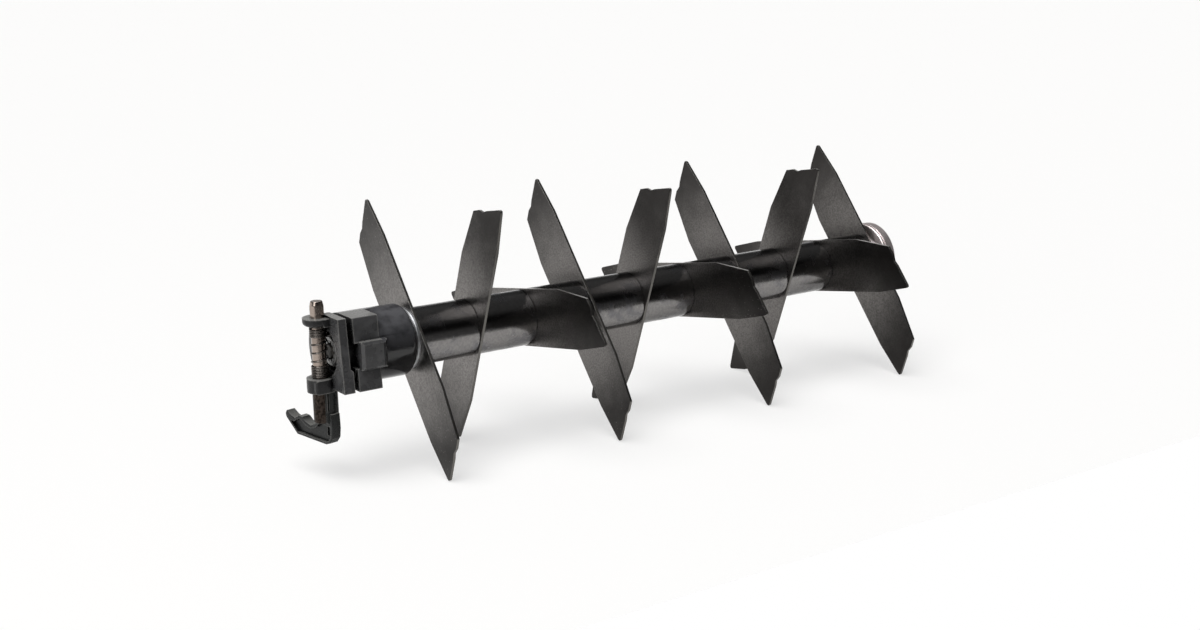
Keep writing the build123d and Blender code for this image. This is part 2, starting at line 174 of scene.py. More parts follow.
class BlockSettings(bpy.types.PropertyGroup):
    block_colour: colour("Bearing block", "Moulded black plastic", "3b3b3c")
    lever_colour: colour("Lever", "Moulded black plastic, a little darker", "151717")
    grit_colour: colour("Grit", "Pale specks in the grain", "6e6b67")
    # The ears are made darker and less shiny.
    dimmed_ears_colour: colour("Oily ears", "Plastic darkened by the pin's oil", "141414")
    collar_colour: colour("Collar", "Polished plastic", "101012")
    # Painted sheen where the collar looks up.
    painted_sheen_colour: colour("Collar's top", "Polished plastic where it looks up", "505053")
    # Pale dust on faces that look up, which also stands for a painted highlight on the block's top.
    dust_colour: colour("Dust", "Dust on faces that look up", "b2b1ad")
    # Grey outer edges: handling wear and a painted highlight.
    edge_wear_and_highlight_colour: colour("Greyed edges", "Edges rubbed grey by handling", "8f8e8b")
    # Painted shade deep in grooves and corners.
    recess_shade_colour: colour("Recesses", "Dirt deep in grooves and corners", "070707")
    collar_start: length("Polished from", "Where on the shaft the polished collar starts", -346.3 * MM)
    ears_end: length("Dark up to", "Where on the shaft the oily ears end", -368.1 * MM)
    edge: length("Edge radius", "Rounding of the mould's edges", 0.35 * MM)
    block_rim: length("Block rim", "Width of the greyed edges of the block", 0.7 * MM)
    lever_rim: length("Lever rim", "Width of the greyed edges of the lever", 0.3 * MM)
    grain: length("Grain", "Size of the spark-eroded grain on the mould", 0.25 * MM)
    # Width of the grooves that get painted shade.
    recess: length("Recess", "Width of the grooves that hold dirt", 7 * MM)
    # How far the ears are darkened.
    oil: share("Oil", "How much oil darkens the ears", 0.65)
    dust: share("Dust layer", "How much the dust covers", 0.36)
    rim_wear_and_highlight: share("Rim wear", "How much the edges are greyed", 0.5)
    block_shine: share("Block shine", "Strength of the block's reflections", 0.5)
    lever_shine: share("Lever shine", "Strength of the lever's reflections", 0.22)
    # Reflections deep in grooves are weakened as painted shade.
    recess_shine: share("Recess shine", "Strength of reflections deep in grooves", 0.1)
    roughness: share("Roughness", "How satin the plastic is", 0.26)
    polish: share("Polish", "How much smoother the collar is", 0.12)


class PinSettings(bpy.types.PropertyGroup):
    pin_colour: colour("Pin", "Turned steel with a thin brown film of oil", "a5988f")
    shoulder_colour: colour("Pin's shoulder", "Rough brown steel under the block", "453d38")
    blotch_colour: colour("Blotches", "Blacker blotches on the shoulder", "201b18")
    wire_colour: colour("Spring wire", "Oiled spring wire", "6c6763")
    # Painted shade between the turns.
    gap_shade_colour: colour("Between turns", "Old oil between the turns", "0f0d0c")
    shoulder_top: length("Shoulder's top", "Height where the brown shoulder ends", -19.5 * MM)
    shoulder_roughness: share("Shoulder's roughness", "How much rougher the shoulder is", 0.25)
    wire: length("Wire diameter", "Diameter of the spring's wire", 0.8 * MM)
    closed_foot: number("Closed turns, foot", "Turns that touch at the foot", 7)
    closed_top: number("Closed turns, top", "Turns that touch at the top", 5)
    open_turns: number("Open turns", "Turns with air between them", 3.5)
    edge: length("Edge radius", "Rounding of the pin's edges", 0.2 * MM)


class SteelSettings(bpy.types.PropertyGroup):
    ring_colour: colour("Bearing rings", "Ground bearing steel", "f3e9e8")
    washer_colour: colour("Washers", "Bright zinc plating", "c6c7c9")
    star_colour: colour("Toothed washer", "Zinc plating gone dull", "a3a3a2")
    bush_colour: colour("Bushes and retaining rings", "Blackened and oiled steel", "2c2a28")
    shaft_colour: colour("Shaft", "Cold drawn bar with a dark skin", "3b3936")
    turned_colour: colour("Shaft's drive end", "Freshly turned steel", "a9a6a2")
    shield_colour: colour("Bearing shields", "Bright pressed sheet", "efe4e3")
    seal_colour: colour("Seals", "Nitrile rubber", "18191b")
    cage_colour: colour("Cages", "Glass filled nylon", "2b2622")
    edge: length("Edge radius", "Rounding of ground and pressed edges", 0.15 * MM)


class StudioSettings(bpy.types.PropertyGroup):
    floor_colour: colour("Floor", "Pale card under the rotor", "f4f3f1")
    floor_front: length("Floor front", "How far the card reaches in front of the shaft", 0.22)
    floor_reach: length("Floor reach", "How far the card reaches behind and to the sides", 8.0)
    whitened: share("Whitened", "Share of plain white in what the camera sees of the card", 0.62)
    mirrored: share("Mirrored", "Share of plain white in what steel mirrors of the card", 0.25)
    lens: number("Lens", "Focal length in millimetres", 47.77)
    sensor: number("Sensor", "Width of the sensor in millimetres", 36)
    camera_place: vector("Camera", "Where the camera stands", (-0.6888, -0.7038, 0.2016), unit="LENGTH")
    camera_yaw: angle("Yaw", "Turn from +Y towards +X", 34.65)
    camera_pitch: angle("Pitch", "Tilt below the horizon", 13.67)
    camera_roll: angle("Roll", "Turn about the view", -0.975)
    key_way: vector("Key light's way", "Which way the key light shines", (0.35, 0.12, -0.93))
    key_strength: number("Key light", "Light on the card in watts per square metre", 3.2)
    key_spread: angle("Key spread", "How wide the key light is", 50)
    fill_place: vector("Fill lamp", "Place from the rotor's middle", (-1.3, -0.6, 0.5), unit="LENGTH")
    fill_size: length("Fill lamp's size", "Side of the square lamp", 0.6)
    fill_power: number("Fill lamp's power", "Power of the lamp left of the camera", 3, unit="POWER")


def nodes_like(*starts):
    """Names of the solids that begin with one of the given words."""
    return [name for name in sorted(frame["nodes"]) if name.startswith(starts)]


def body_of(node):
    """The moving body that holds a solid."""
    bodies = frame["record"]["behaviour"]["bodies"]
    return next(body for body, names in bodies.items() if node in names)


def fill(tree, node, values):
    """Fills a node's inputs, by name or in the order that it shows them.

    A value may be a constant, a socket to link from, or a node, which stands for its first output.
    """
    shown = [socket for socket in node.inputs if socket.enabled]
    for place, value in values.items() if isinstance(values, dict) else enumerate(values):
        socket = node.inputs[place] if isinstance(place, str) else shown[place]
        if isinstance(value, bpy.types.Node):
            value = next(output for output in value.outputs if output.enabled)
        if isinstance(value, bpy.types.NodeSocket):
            tree.links.new(value, socket)
        else:
            socket.default_value = value


def add(tree, kind, values=(), **settings):
    """Adds a node with its settings, its values and its links."""
    node = tree.nodes.new("ShaderNode" + kind)
    for name, value in settings.items():
        setattr(node, name, value)
    fill(tree, node, values)
    return node


def shader_of(made):
    """A finish's node tree and its shader."""
    return made.node_tree, made.node_tree.nodes["Principled BSDF"]


def finish_of(name):
    """A new material with its node tree and its shader."""
    made = bpy.data.materials.new(name)
    made.use_nodes = True
    return made, *shader_of(made)


def fed(shader, name):
    """The socket that feeds one of the shader's inputs."""
    return shader.inputs[name].links[0].from_socket


def toned(shade, factor):
    """A colour made that many times as light."""
    return tuple(min(1.0, factor * value) for value in shade[:3]) + (1.0,)


def coats(tree, base, *layers):
    """Lays coats over a base colour, each with how far it covers from 0 to 1."""
    for cover, shade in layers:
        base = add(tree, "Mix", (cover, base, shade), **COLOURS)
    return base


def spots(tree, place, size, low=NOISE[0], high=NOISE[1], first=0.0, last=1.0):
    """Soft spots of about that size in metres, from first in the gaps to last in the middle."""
    cloud = add(tree, "TexNoise", {"Vector": place, "Scale": 1 / size, "Detail": 4.0})
    return add(tree, "MapRange", (cloud, low, high, first, last), **SMOOTH)


def streaks(tree, place, sizes):
    """Noise drawn out to a size of its own along each axis, as grinding marks are."""
    scaled = add(tree, "VectorMath", (place, sizes), operation="DIVIDE")
    return add(tree, "TexNoise", {"Vector": scaled, "Scale": 1.0, "Detail": 3.0})


def specks(tree, place, cell, size, amount):
    """1 in small scattered dots, 0 elsewhere. Amount is the share of cells that hold a dot."""
    cells = add(tree, "TexVoronoi", {"Vector": place, "Scale": 1 / cell}).outputs
    dot = add(tree, "MapRange", (cells["Distance"], 0.0, size, 1.0, 0.0), **SMOOTH)
    drawn = add(tree, "SeparateColor", (cells["Color"],))
    chosen = add(tree, "Math", (drawn, amount), operation="LESS_THAN")
    return add(tree, "Math", (dot, chosen), operation="MULTIPLY")


def recesses(tree, reach):
    """1 in the open and 0 deep in a groove of about that width."""
    shut = add(tree, "AmbientOcclusion", {"Distance": reach}, samples=CORNER_SAMPLES)
    return add(tree, "MapRange", (shut.outputs["AO"], 0.25, 0.8), **SMOOTH)


def rims(tree, reach):
    """1 on outer edges and 0 on open faces, with soft edges of about that width."""
    solid = add(tree, "AmbientOcclusion", {"Distance": reach}, samples=CORNER_SAMPLES, inside=True)
    return add(tree, "MapRange", (solid.outputs["AO"], 0.55, 0.95, 1.0, 0.0), **SMOOTH)


def facing(tree):
    """The X, Y and Z of the way a face looks."""
    looks = add(tree, "TexCoord").outputs["Normal"]
    return add(tree, "SeparateXYZ", (looks,)).outputs


def oxide_blade_steel(settings):
    """Hardened spring steel sheet, rolled and blackened: dark satin grey, paler near the shaft.

    The steel darkens towards the tips and, a little, towards the drive end. Towards the tips this is
    hardened oxide and a painted reflection that fades. The cut edges are paler, and those that look up
    get a painted highlight.
    """
    made, tree, shader = finish_of("blackened_spring_steel")
    place = add(tree, "TexCoord").outputs["Object"]
    # Darker from the shaft out to the tips: hardened oxide, and a painted reflection that fades
    # outwards.
    flat = add(tree, "VectorMath", (place, (0, 1, 1)), operation="MULTIPLY")
    reach = add(tree, "VectorMath", (flat,), operation="LENGTH")
    cloud = add(tree, "TexNoise", {"Vector": place, "Scale": 1 / (9 * MM), "Detail": 4.0})
    clouded_reach = add(tree, "Math", (cloud, 20 * MM, reach), operation="MULTIPLY_ADD")
    tip = add(tree, "MapRange", (clouded_reach, 26 * MM, 84 * MM), **SMOOTH)
    along = add(tree, "SeparateXYZ", (place,)).outputs["X"]
    drive_end = add(tree, "MapRange", (along, -300 * MM, 0.0, 0.0, 0.2), **SMOOTH)
    mottle = spots(tree, place, 0.9 * MM, last=0.5)
    pits = specks(tree, place, cell=2.2 * MM, size=0.16, amount=0.25)
    dust = specks(tree, place, cell=1.7 * MM, size=0.2, amount=0.16)
    looks = facing(tree)
    side = add(tree, "Math", (looks["X"],), operation="ABSOLUTE")
    cut = add(tree, "MapRange", (side, 0.35, 0.75, 1.0, 0.0), **SMOOTH)
    # Painted highlight: cut edges that look up are made bright, in patches.
    upper = add(tree, "MapRange", (looks["Z"], 0.72, 0.95), **SMOOTH)
    highlight_patches = spots(tree, place, 3 * MM, high=0.6, first=0.6)
    rubbed = add(tree, "Math", (upper, highlight_patches), operation="MULTIPLY")
    edge = coats(tree, settings.cut_colour, (rubbed, settings.upper_edge_highlight_colour))
    steel = coats(
        tree,
        settings.hub_colour,
        (tip, settings.tip_colour),
        (drive_end, settings.tip_colour),
        (mottle, settings.tip_colour),
        (pits, settings.pit_colour),
        (dust, settings.dust_colour),
        (cut, edge),
    )
    # Rolling lines are finer in truth. They are this wide so that they show.
    rolling_lines = (30 * MM, 0.5 * MM, 30 * MM)
    local = add(tree, "Attribute", attribute_name="blade_place").outputs["Vector"]
    rolled = streaks(tree, local, rolling_lines)
    smoothest, roughest = settings.roughness - 0.05, settings.roughness + 0.06
    values = {
        "Base Color": steel,
        "Metallic": 1.0,
        "Roughness": add(tree, "MapRange", (rolled, *NOISE, smoothest, roughest), **SMOOTH),
        "Normal": add(tree, "Bump", {"Height": rolled, "Distance": 0.004 * MM, "Strength": 1.0}),
    }
    fill(tree, shader, values)
    return made


def polished_oxide_tube(settings):
    """Blackened and polished steel tube: near black, with the floor as a grey panel.

    It has dust and finger marks, and a painted shade darkens the upper side.
    """
    made, tree, shader = finish_of("polished_black_tube")
    place = add(tree, "TexCoord").outputs["Object"]
    smudge = spots(tree, place, 9 * MM, low=0.45)
    dust = specks(tree, place, cell=1.9 * MM, size=0.2, amount=0.2)
    mottle = spots(tree, place, 1.2 * MM, last=0.3)
    # Painted shade: faces that look up are darkened.
    film = add(tree, "MapRange", (facing(tree)["Z"], 0.0, 0.5, 0.0, settings.film), **SMOOTH)
    tube = coats(
        tree,
        settings.tube_colour,
        (smudge, settings.smudge_colour),
        (mottle, settings.mottle_colour),
        (dust, settings.dust_colour),
        (film, settings.painted_top_shade_colour),
    )
    # Turning lines are finer in truth. They are this wide so that they show.
    turning_lines = (0.35 * MM, 14 * MM, 14 * MM)
    turned = streaks(tree, place, turning_lines)
    clean, smudged = settings.roughness, settings.roughness + 0.13
    base = add(tree, "MapRange", (smudge, 0.0, 1.0, clean, smudged), **SMOOTH)
    fine = add(tree, "MapRange", (turned, *NOISE, -0.02, 0.03), **SMOOTH)
    values = {
        "Base Color": tube,
        "Metallic": 1.0,
        "Roughness": add(tree, "Math", (base, 1.0, fine), operation="MULTIPLY_ADD"),
        "Normal": add(tree, "Bump", {"Height": turned, "Distance": 0.0015 * MM, "Strength": 1.0}),
    }
    fill(tree, shader, values)
    return made


def moulded_plastic(name, shade, settings, zones, rim, shine):
    """Glass filled nylon from a spark-eroded mould: satin black with a fine grain.

    The two zones are where along the shaft the darker ears end and where the polished part starts.
    The grain is drawn coarser than a real mould leaves it, so that it shows.
    """
    made, tree, shader = finish_of(name)
    dimmed_end, polish_start = zones
    place = add(tree, "TexCoord").outputs["Object"]
    cloud = add(tree, "TexNoise", {"Vector": place, "Scale": 1 / (6 * MM), "Detail": 4.0})
    pale = add(tree, "MapRange", (cloud, 0.45, 0.8), **SMOOTH)
    grit = specks(tree, place, cell=1.8 * MM, size=0.12, amount=0.2)
    along = add(tree, "SeparateXYZ", (place,)).outputs["X"]
    # The ears are made darker and reflect less.
    dimmed_border = (dimmed_end - 0.2 * MM, dimmed_end + 0.2 * MM)
    dimmed = add(tree, "MapRange", (along, *dimmed_border, settings.oil, 0.0), **SMOOTH)
    polish_border = (polish_start - 0.1 * MM, polish_start + 0.1 * MM)
    polished = add(tree, "MapRange", (along, *polish_border), **SMOOTH)
    up = facing(tree)["Z"]
    # Painted sheen: the collar is lighter, in patches, where it looks up.
    upward = add(tree, "MapRange", (up, -0.2, 0.9), **SMOOTH)
    patchy = add(tree, "MapRange", (cloud, 0.3, 0.6, 0.5, 1.0), **SMOOTH)
    painted_sheen = add(tree, "Math", (upward, patchy), operation="MULTIPLY")
    collar = coats(tree, settings.collar_colour, (painted_sheen, settings.painted_sheen_colour))
    # Dust and painted highlight: grained faces that look up turn paler.
    level = add(tree, "MapRange", (up, 0.8, 0.98, 0.0, settings.dust), **SMOOTH)
    grained = add(tree, "Math", (1.0, polished), operation="SUBTRACT")
    dust_and_top_highlight = add(tree, "Math", (level, grained), operation="MULTIPLY")
    # Grey outer edges: handling wear and a painted highlight.
    edge = add(tree, "Math", (rims(tree, rim), settings.rim_wear_and_highlight), operation="MULTIPLY")
    moulded = coats(
        tree,
        shade,
        (pale, toned(shade, 1.7)),
        (grit, settings.grit_colour),
        (dimmed, settings.dimmed_ears_colour),
        (polished, collar),
        (dust_and_top_highlight, settings.dust_colour),
        (edge, settings.edge_wear_and_highlight_colour),
    )
    # Painted shade: grooves and corners turn dark and reflect less.
    open_air = recesses(tree, settings.recess)
    undimmed = add(tree, "Math", (1.0, dimmed), operation="SUBTRACT")
    lit = add(tree, "MapRange", (open_air, 0.0, 1.0, settings.recess_shine, shine), **SMOOTH)
    smoothest, roughest = settings.roughness - 0.05, settings.roughness + 0.1
    rough = add(tree, "MapRange", (cloud, *NOISE, smoothest, roughest), **SMOOTH)
    grain = add(tree, "TexNoise", {"Vector": place, "Scale": 1 / settings.grain, "Detail": 4.0})
    values = {
        "Base Color": coats(tree, settings.recess_shade_colour, (open_air, moulded)),
        "Specular IOR Level": add(tree, "Math", (lit, undimmed), operation="MULTIPLY"),
        "Roughness": add(tree, "Math", (polished, -settings.polish, rough), operation="MULTIPLY_ADD"),
        "IOR": NYLON_IOR,
        "Normal": add(tree, "Bump", {"Height": grain, "Distance": 0.012 * MM, "Strength": 1.0}),
    }
    fill(tree, shader, values)
    return made


def machined_steel(name, shade, marks, roughness, depth):
    """Ground, drawn or plated steel with tool marks. Marks gives how long they are along each axis.

    The marks catch the light in fine lines. They are wider than real ones, so that they show.
    """
    made, tree, shader = finish_of(name)
    place = add(tree, "TexCoord").outputs["Object"]
    lines = streaks(tree, place, marks)
    cloud = spots(tree, place, 5 * MM, low=0.4, high=0.75, last=0.6)
    smoothest, roughest = roughness - 0.04, roughness + 0.08
    values = {
        "Base Color": coats(tree, shade, (cloud, toned(shade, 0.6))),
        "Metallic": 1.0,
        "Roughness": add(tree, "MapRange", (lines, *NOISE, smoothest, roughest), **SMOOTH),
        "Normal": add(tree, "Bump", {"Height": lines, "Distance": depth, "Strength": 1.0}),
    }
    fill(tree, shader, values)
    return made


def soft_part(name, shade, roughness, ior):
    """Moulded rubber or nylon: dull, with a fine uneven skin."""
    made, tree, shader = finish_of(name)
    place = add(tree, "TexCoord").outputs["Object"]
    cloud = add(tree, "TexNoise", {"Vector": place, "Scale": 1 / (1.5 * MM), "Detail": 4.0})
    smoothest, roughest = roughness - 0.05, roughness + 0.1
    values = {
        "Base Color": coats(tree, shade, (cloud, toned(shade, 1.5))),
        "Roughness": add(tree, "MapRange", (cloud, *NOISE, smoothest, roughest), **SMOOTH),
        "IOR": ior,
        "Normal": add(tree, "Bump", {"Height": cloud, "Distance": 0.01 * MM, "Strength": 1.0}),
    }
    fill(tree, shader, values)
    return made


def oiled_wire(settings):
    """Hard drawn spring wire: each turn catches one bright line, and painted shade fills the gaps."""
    marks = (2 * MM, 2 * MM, 2 * MM)
    made = machined_steel(
        "oiled_spring_wire", settings.wire_colour, marks, roughness=0.24, depth=0.002 * MM
    )
    tree, shader = shader_of(made)
    # Painted shade in the gaps between turns.
    open_air = recesses(tree, settings.wire)
    dimmed = coats(tree, settings.gap_shade_colour, (open_air, fed(shader, "Base Color")))
    fill(tree, shader, {"Base Color": dimmed})
    return made


def pin_steel(settings):
    """Turned pin: bright where it slides in the ears, rough and browned on the shoulder below."""
    marks = (9 * MM, 9 * MM, 0.3 * MM)
    made = machined_steel(
        "turned_pin_steel", settings.pin_colour, marks, roughness=0.17, depth=0.003 * MM
    )
    tree, shader = shader_of(made)
    place = add(tree, "TexCoord").outputs["Object"]
    height = add(tree, "SeparateXYZ", (place,)).outputs["Z"]
    border = (settings.shoulder_top - 0.1 * MM, settings.shoulder_top + 0.1 * MM)
    low = add(tree, "MapRange", (height, *border, 1.0, 0.0), **SMOOTH)
    blotch = spots(tree, place, 1.2 * MM, low=0.35, high=0.65)
    brown = coats(tree, settings.shoulder_colour, (blotch, settings.blotch_colour))
    smooth = fed(shader, "Roughness")
    rough = add(tree, "Math", (low, settings.shoulder_roughness, smooth), operation="MULTIPLY_ADD")
    steel = coats(tree, fed(shader, "Base Color"), (low, brown))
    fill(tree, shader, {"Base Color": steel, "Roughness": rough})
    return made


def two_ended(made, settings):
    """Turned bright at the drive end, dark with oil at the block's end."""
    tree, shader = shader_of(made)
    place = add(tree, "TexCoord").outputs["Object"]
    along = add(tree, "SeparateXYZ", (place,)).outputs["X"]
    drive_end = add(tree, "MapRange", (along, -200 * MM, -100 * MM), **SMOOTH)
    bright = coats(tree, fed(shader, "Base Color"), (drive_end, settings.turned_colour))
    fill(tree, shader, {"Base Color": bright})
    return made


def dress(piece, finish):
    """Gives a piece its finish."""
    piece.data.materials.clear()
    piece.data.materials.append(finish)


def keep(node, finish):
    """Shows a solid as it is, with a finish."""
    dress(frame["nodes"][node], finish)


def placed(name, data):
    """A new object in the scene."""
    piece = bpy.data.objects.new(name, data)
    bpy.context.scene.collection.objects.link(piece)
    return piece


def settle(mesh, name, nodes, finish):
    """Puts a mesh on the body of the solids that it stands for."""
    piece = placed(name, mesh)
    dress(piece, finish)
    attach(piece, body_of(nodes[0]))
    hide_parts(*nodes)
    return piece


def baked(piece):
    """The piece's mesh with its modifiers applied. The piece itself is removed."""
    graph = bpy.context.evaluated_depsgraph_get()
    mesh = bpy.data.meshes.new_from_object(piece.evaluated_get(graph))
    bpy.data.objects.remove(piece)
    return mesh


def eased(node, edge, segments=2):
    """Mesh of a solid with its flat faces made whole and its sharp edges rounded."""
    form = bmesh.new()
    form.from_mesh(frame["nodes"][node].data)
    bmesh.ops.remove_doubles(form, verts=form.verts, dist=WELD)
    bmesh.ops.dissolve_limit(
        form, angle_limit=FLAT_TURN, verts=form.verts, edges=form.edges, use_dissolve_boundaries=False
    )
    mesh = bpy.data.meshes.new(node + "_form")
    form.to_mesh(mesh)
    form.free()
    mesh.shade_smooth()
    piece = placed(node + "_form", mesh)
    rounding = piece.modifiers.new("rounding", "BEVEL")
    rounding.width = edge
    rounding.segments = segments
    rounding.limit_method = "ANGLE"
    rounding.angle_limit = SHARP_TURN
    rounding.use_clamp_overlap = True
    evened = piece.modifiers.new("evened", "WEIGHTED_NORMAL")
    evened.keep_sharp = True
    evened.weight = 100
    return baked(piece)


def settle_eased(node, edge, ending, finish, segments=2):
    """Puts a solid's rounded form in its place, under the solid's name with an ending."""
    settle(eased(node, edge, segments), node + ending, [node], finish)


def lengthwise(mesh, axis):
    """Stores each point's place in a blade's own directions: along, across and through the sheet."""
    across = SHAFT_AXIS.cross(axis)
    places = mesh.attributes.new("blade_place", "FLOAT_VECTOR", "POINT")
    for point, place in zip(mesh.vertices, places.data):
        place.vector = (point.co.dot(axis), point.co.dot(across), point.co.x)


def long_axis(node):
    """Direction of a blade's arms, from the shaft to its furthest point."""
    points = [point.co for point in frame["nodes"][node].data.vertices]
    far = max(points, key=lambda point: point.yz.length)
    return Vector((0, far.y, far.z)).normalized()


def spring_height(turn, settings, free):
    """Height of the wire's middle above its first turn."""
    foot = min(turn, settings.closed_foot)
    opened = min(max(turn - settings.closed_foot, 0), settings.open_turns)
    top = max(turn - settings.closed_foot - settings.open_turns, 0)
    return (foot + top) * CLOSED_RISE * settings.wire + free * opened / settings.open_turns


def spring_mesh(settings):
    """Wire wound round the pin, as fine as the picture needs."""
    low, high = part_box("pin_spring")
    radius = (high.y - low.y - settings.wire) / 2
    pin_low, pin_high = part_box("lock_pin")
    middle = (pin_low + pin_high) / 2
    turns = settings.closed_foot + settings.open_turns + settings.closed_top
    closed = (settings.closed_foot + settings.closed_top) * CLOSED_RISE * settings.wire
    free = high.z - low.z - settings.wire - closed
    line = bpy.data.curves.new("pin_spring_wire", "CURVE")
    line.dimensions = "3D"
    line.bevel_depth = settings.wire / 2
    line.bevel_resolution = WIRE_ROUNDNESS
    line.use_fill_caps = True
    path = line.splines.new("POLY")
    path.points.add(int(turns * STEPS_PER_TURN))
    for step, point in enumerate(path.points):
        turn = step / STEPS_PER_TURN
        way = 2 * math.pi * turn
        x = middle.x + radius * math.cos(way)
        y = middle.y + radius * math.sin(way)
        z = low.z + settings.wire / 2 + spring_height(turn, settings, free)
        point.co = (x, y, z, 1)
    path.use_smooth = True
    return baked(placed("pin_spring_line", line))


def shortened(coil):
    """Gives the coil a mesh of its own."""
    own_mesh(coil)


class ROTOR_OT_blades(bpy.types.Operator):
    """Blades with rounded stamped edges and blackened faces"""

    bl_idname = "rotor.blades"
    bl_label = "Blades"

    def execute(self, context):
        settings = context.scene.rotor_blades
        finish = oxide_blade_steel(settings)
        for node in nodes_like("blade_"):
            mesh = eased(node, settings.edge)
            lengthwise(mesh, long_axis(node))
            settle(mesh, node + "_sheet", [node], finish)
        return {"FINISHED"}


class ROTOR_OT_sleeves(bpy.types.Operator):
    """Spacer sleeves with deburred ends"""

    bl_idname = "rotor.sleeves"
    bl_label = "Sleeves"

    def execute(self, context):
        settings = context.scene.rotor_sleeves
        finish = polished_oxide_tube(settings)
        for node in nodes_like("spacer_sleeve_"):
            settle_eased(node, settings.edge, "_tube", finish, segments=3)
        return {"FINISHED"}


class ROTOR_OT_block(bpy.types.Operator):
    """Bearing block and lock lever, moulded with eased edges"""

    bl_idname = "rotor.block"
    bl_label = "Bearing block and lever"

    def execute(self, context):
        settings = context.scene.rotor_block
        block_zones = (settings.ears_end, settings.collar_start)
        block_look = (block_zones, settings.block_rim, settings.block_shine)
        lever_look = (NO_ZONES, settings.lever_rim, settings.lever_shine)
        block = moulded_plastic("moulded_nylon_block", settings.block_colour, settings, *block_look)
        lever = moulded_plastic("moulded_nylon_lever", settings.lever_colour, settings, *lever_look)
        settle_eased("bearing_block", settings.edge, "_moulding", block)
        settle_eased("lock_lever", settings.edge, "_moulding", lever)
        return {"FINISHED"}


class ROTOR_OT_lock_pin(bpy.types.Operator):
    """Lock pin with its clip and its spring"""

    bl_idname = "rotor.lock_pin"
    bl_label = "Lock pin, clip and spring"

    def execute(self, context):
        settings = context.scene.rotor_pin
        turned = pin_steel(settings)
        wire = oiled_wire(settings)
        settle_eased("lock_pin", settings.edge, "_turned", turned, segments=3)
        shortened(settle(spring_mesh(settings), "pin_spring_coil", ["pin_spring"], wire))
        keep("pin_clip", wire)
        return {"FINISHED"}


class ROTOR_OT_bearings(bpy.types.Operator):
    """Both ball bearings"""

    bl_idname = "rotor.bearings"
    bl_label = "Ball bearings"

    def execute(self, context):
        settings = context.scene.rotor_steel
        turning_marks = (0.2 * MM, 12 * MM, 12 * MM)
        sheet_marks = (4 * MM, 4 * MM, 4 * MM)
        ground = machined_steel(
            "ground_bearing_steel", settings.ring_colour, turning_marks, roughness=0.42, depth=0.002 * MM
        )
        rubber = soft_part("nitrile_seal", settings.seal_colour, roughness=0.6, ior=RUBBER_IOR)
        nylon = soft_part("nylon_cage", settings.cage_colour, roughness=0.45, ior=NYLON_IOR)
        pressed = machined_steel(
            "bright_shield_steel", settings.shield_colour, sheet_marks, roughness=0.35, depth=0.002 * MM
        )
        for bearing, seal in zip(BEARINGS, (rubber, pressed)):
            for ring in ("_outer_ring", "_inner_ring"):
                settle_eased(bearing + ring, settings.edge, "_ground", ground)
            keep(bearing + "_balls", ground)
            keep(bearing + "_cage", nylon)
            keep(bearing + "_seal_left", seal)
            keep(bearing + "_seal_right", seal)
        return {"FINISHED"}


class ROTOR_OT_shaft(bpy.types.Operator):
    """Shaft, bushes, washers and retaining rings"""

    bl_idname = "rotor.shaft"
    bl_label = "Shaft and washers"

    def execute(self, context):
        settings = context.scene.rotor_steel
        die_lines = (20 * MM, 0.4 * MM, 0.4 * MM)
        coarse = (3 * MM, 3 * MM, 3 * MM)
        fine = (2 * MM, 2 * MM, 2 * MM)
        drawn = machined_steel(
            "drawn_bar", settings.shaft_colour, die_lines, roughness=0.45, depth=0.004 * MM
        )
        plated = machined_steel(
            "zinc_plated_steel", settings.washer_colour, coarse, roughness=0.4, depth=0.003 * MM
        )
        dull = machined_steel(
            "dull_zinc_plating", settings.star_colour, fine, roughness=0.5, depth=0.003 * MM
        )
        oiled = machined_steel(
            "blackened_bush_steel", settings.bush_colour, fine, roughness=0.4, depth=0.003 * MM
        )
        keep("shaft", two_ended(drawn, settings))
        for node in ("end_washer", "drive_washer"):
            settle_eased(node, settings.edge, "_pressed", plated)
        settle_eased("toothed_washer", settings.edge, "_pressed", dull)
        for node in ("inner_bush", "outer_bush", "drive_snap_ring", "block_snap_ring"):
            keep(node, oiled)
        return {"FINISHED"}


def sheet_of(name, low, high, height):
    """A flat stage sheet between two corners."""
    form = bmesh.new()
    corners = [(low[0], low[1]), (high[0], low[1]), (high[0], high[1]), (low[0], high[1])]
    form.faces.new([form.verts.new((x, y, height)) for x, y in corners])
    mesh = bpy.data.meshes.new(name)
    form.to_mesh(mesh)
    form.free()
    return placed(name, mesh)


def card(settings):
    """Matte white card that takes the shadow.

    What the camera sees and what the steel mirrors of it is plain white in part.
    """
    made, tree, shader = finish_of("white_card")
    values = {"Base Color": settings.floor_colour, "Roughness": 0.9, "Specular IOR Level": 0.0}
    fill(tree, shader, values)
    path = add(tree, "LightPath").outputs
    mirrored = add(tree, "Math", (path["Is Glossy Ray"], settings.mirrored), operation="MULTIPLY")
    whitened = (path["Is Camera Ray"], settings.whitened, mirrored)
    shown = add(tree, "Math", whitened, operation="MULTIPLY_ADD")
    white = add(tree, "Emission", {"Color": (1, 1, 1, 1), "Strength": 1.0})
    blend = add(tree, "MixShader", (shown, shader, white))
    fill(tree, tree.nodes["Material Output"], {"Surface": blend})
    return made


def aimed(way):
    """Rotation of a lamp that shines that way."""
    return way.to_track_quat("-Z", "Y").to_euler()


def fill_lamp(settings, middle):
    """Square soft lamp left of the camera, aimed at the rotor's middle."""
    lamp = bpy.data.lights.new("fill_lamp", "AREA")
    lamp.size = settings.fill_size
    lamp.energy = settings.fill_power
    holder = placed("fill_lamp", lamp)
    holder.location = middle + Vector(settings.fill_place)
    holder.rotation_euler = aimed(middle - holder.location)


def key_light(settings):
    """Wide soft light from above and the left, even over the whole card."""
    lamp = bpy.data.lights.new("key_light", "SUN")
    lamp.energy = settings.key_strength
    lamp.angle = settings.key_spread
    holder = placed("key_light", lamp)
    holder.rotation_euler = aimed(Vector(settings.key_way))


